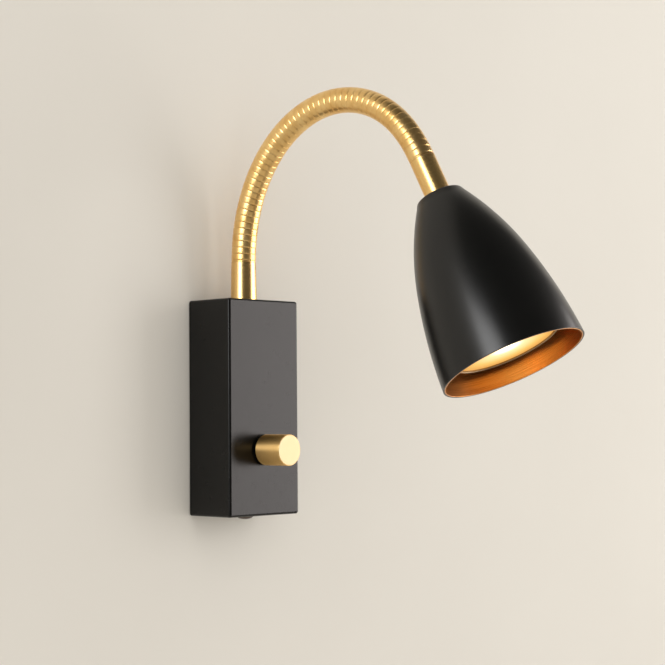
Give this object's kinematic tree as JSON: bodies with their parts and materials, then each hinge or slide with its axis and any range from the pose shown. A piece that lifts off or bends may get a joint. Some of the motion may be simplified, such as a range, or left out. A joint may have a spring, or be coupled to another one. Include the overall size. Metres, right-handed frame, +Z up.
{
  "type": "wall reading lamp",
  "caption": "Bedside wall reading lamp: flat wall box with a dimmer knob, flexible ribbed neck, and a bell-shaped spun shade round a reflector lamp.",
  "frame": {"origin": "middle of the wall box's back, on the wall, halfway between the two wall screws", "axes": "+Z up, +X along the wall to the right as seen from the room, -Y out into the room, +Y into the wall"},
  "size_m": [0.0808, 0.1939, 0.2064],
  "materials": {
    "black_paint": "semi-gloss black paint",
    "shade_black": "satin black paint outside, copper tint inside",
    "brass": "brushed brass",
    "zinc_steel": "zinc-plated steel",
    "bronze_cap": "dark bronze paint",
    "dimmer_metal": "plain pressed metal",
    "rubber": "matt black",
    "block_plastic": "moulded white",
    "board": "green laminate",
    "wire": "insulated wire",
    "holder_ceramic": "unglazed",
    "lamp_body": "matt silver",
    "lens": "frosted, lit"
  },
  "bodies": {
    "wall_box": {"wall_bracket": "zinc_steel", "cable_grommet": "rubber", "housing_cover": "black_paint", "cover_screw": "bronze_cap", "earth_screw": "zinc_steel", "terminal_block": "block_plastic", "block_screw": "zinc_steel", "supply_leads": "wire", "lamp_leads": "wire", "dimmer_body": "dimmer_metal", "dimmer_washer": "zinc_steel", "dimmer_nut": "zinc_steel", "dimmer_board": "board", "board_terminal": "board", "filter_capacitor": "block_plastic", "power_switch": "dimmer_metal", "neck_nipple": "zinc_steel", "neck_washer": "zinc_steel", "neck_nut": "zinc_steel", "base_ferrule": "brass"},
    "knob": {"knob": "brass", "dimmer_shaft": "zinc_steel", "grub_screw": "zinc_steel"},
    "neck_01": {"neck_link_01": "brass"},
    "neck_02": {"neck_link_02": "brass"},
    "neck_03": {"neck_link_03": "brass"},
    "neck_04": {"neck_link_04": "brass"},
    "neck_05": {"neck_link_05": "brass"},
    "neck_06": {"neck_link_06": "brass"},
    "neck_07": {"neck_link_07": "brass"},
    "neck_08": {"neck_link_08": "brass"},
    "neck_09": {"neck_link_09": "brass"},
    "neck_10": {"neck_link_10": "brass"},
    "neck_11": {"neck_link_11": "brass"},
    "neck_12": {"neck_link_12": "brass"},
    "neck_13": {"neck_link_13": "brass"},
    "neck_14": {"neck_link_14": "brass"},
    "neck_15": {"neck_link_15": "brass"},
    "neck_16": {"neck_link_16": "brass"},
    "neck_17": {"neck_link_17": "brass"},
    "head": {"head_ferrule": "brass", "head_nipple": "zinc_steel", "head_nut": "zinc_steel", "shade": "shade_black", "holder_plate": "zinc_steel", "lampholder": "holder_ceramic", "holder_screws": "zinc_steel", "head_leads": "wire", "lamp_base": "lamp_body", "lamp_reflector": "lamp_body", "lamp_lens": "lens", "lamp_pins": "lamp_body"}
  },
  "joints": [
    {"name": "knob_turn", "type": "hinge", "parent": "wall_box", "child": "knob", "pos_m": [0, -0.03, -0.0206], "axis": [0, 1, 0], "range_deg": [-210, 80]},
    {"name": "neck_sway_01", "type": "hinge", "parent": "wall_box", "child": "neck_01", "pos_m": [0, -0.0145, 0.0725], "axis": [0.1598, -0.9868, -0.0259], "range_deg": [-8, 8]},
    {"name": "neck_bend_02", "type": "hinge", "parent": "neck_01", "child": "neck_02", "pos_m": [0.00008, -0.01499, 0.08207], "axis": [0.9871, 0.1599, 0], "range_deg": [-5.7, 2.5]},
    {"name": "neck_bend_03", "type": "hinge", "parent": "neck_02", "child": "neck_03", "pos_m": [0.00032, -0.01647, 0.09155], "axis": [0.9871, 0.1599, 0], "range_deg": [-5.9, 2.5]},
    {"name": "neck_bend_04", "type": "hinge", "parent": "neck_03", "child": "neck_04", "pos_m": [0.00072, -0.01895, 0.1008], "axis": [0.9871, 0.1599, 0], "range_deg": [-6.2, 2.5]},
    {"name": "neck_sway_05", "type": "hinge", "parent": "neck_04", "child": "neck_05", "pos_m": [0.00129, -0.02246, 0.1097], "axis": [0.1446, -0.8927, -0.4268], "range_deg": [-8, 8]},
    {"name": "neck_bend_06", "type": "hinge", "parent": "neck_05", "child": "neck_06", "pos_m": [0.00203, -0.02702, 0.11811], "axis": [0.9871, 0.1599, 0], "range_deg": [-7.2, 2.5]},
    {"name": "neck_bend_07", "type": "hinge", "parent": "neck_06", "child": "neck_07", "pos_m": [0.00294, -0.03263, 0.12583], "axis": [0.9871, 0.1599, 0], "range_deg": [-7.9, 2.5]},
    {"name": "neck_bend_08", "type": "hinge", "parent": "neck_07", "child": "neck_08", "pos_m": [0.00402, -0.03929, 0.13264], "axis": [0.9871, 0.1599, 0], "range_deg": [-8.6, 2.5]},
    {"name": "neck_bend_09", "type": "hinge", "parent": "neck_08", "child": "neck_09", "pos_m": [0.00525, -0.04692, 0.13831], "axis": [0.9871, 0.1599, 0], "range_deg": [-9.4, 2.5]},
    {"name": "neck_sway_10", "type": "hinge", "parent": "neck_09", "child": "neck_10", "pos_m": [0.00662, -0.05541, 0.14256], "axis": [0.0572, -0.353, -0.9339], "range_deg": [-8, 8]},
    {"name": "neck_bend_11", "type": "hinge", "parent": "neck_10", "child": "neck_11", "pos_m": [0.0081, -0.06452, 0.14514], "axis": [0.9871, 0.1599, 0], "range_deg": [-10.9, 2.5]},
    {"name": "neck_bend_12", "type": "hinge", "parent": "neck_11", "child": "neck_12", "pos_m": [0.00963, -0.07396, 0.14583], "axis": [0.9871, 0.1599, 0], "range_deg": [-11.3, 2.5]},
    {"name": "neck_bend_13", "type": "hinge", "parent": "neck_12", "child": "neck_13", "pos_m": [0.01115, -0.08334, 0.14454], "axis": [0.9871, 0.1599, 0], "range_deg": [-11.5, 2.5]},
    {"name": "neck_bend_14", "type": "hinge", "parent": "neck_13", "child": "neck_14", "pos_m": [0.01259, -0.09224, 0.14128], "axis": [0.9871, 0.1599, 0], "range_deg": [-11.3, 2.5]},
    {"name": "neck_sway_15", "type": "hinge", "parent": "neck_14", "child": "neck_15", "pos_m": [0.01389, -0.10028, 0.13623], "axis": [-0.0971, 0.5996, -0.7944], "range_deg": [-8, 8]},
    {"name": "neck_bend_16", "type": "hinge", "parent": "neck_15", "child": "neck_16", "pos_m": [0.01502, -0.10721, 0.12969], "axis": [0.9871, 0.1599, 0], "range_deg": [-9.4, 2.5]},
    {"name": "neck_bend_17", "type": "hinge", "parent": "neck_16", "child": "neck_17", "pos_m": [0.01594, -0.11292, 0.12204], "axis": [0.9871, 0.1599, 0], "range_deg": [-7.7, 2.5]},
    {"name": "neck_bend_18", "type": "hinge", "parent": "neck_17", "child": "head", "pos_m": [0.01668, -0.1175, 0.11365], "axis": [0.9871, 0.1599, 0], "range_deg": [-2.8, 2.5]}
  ]
}
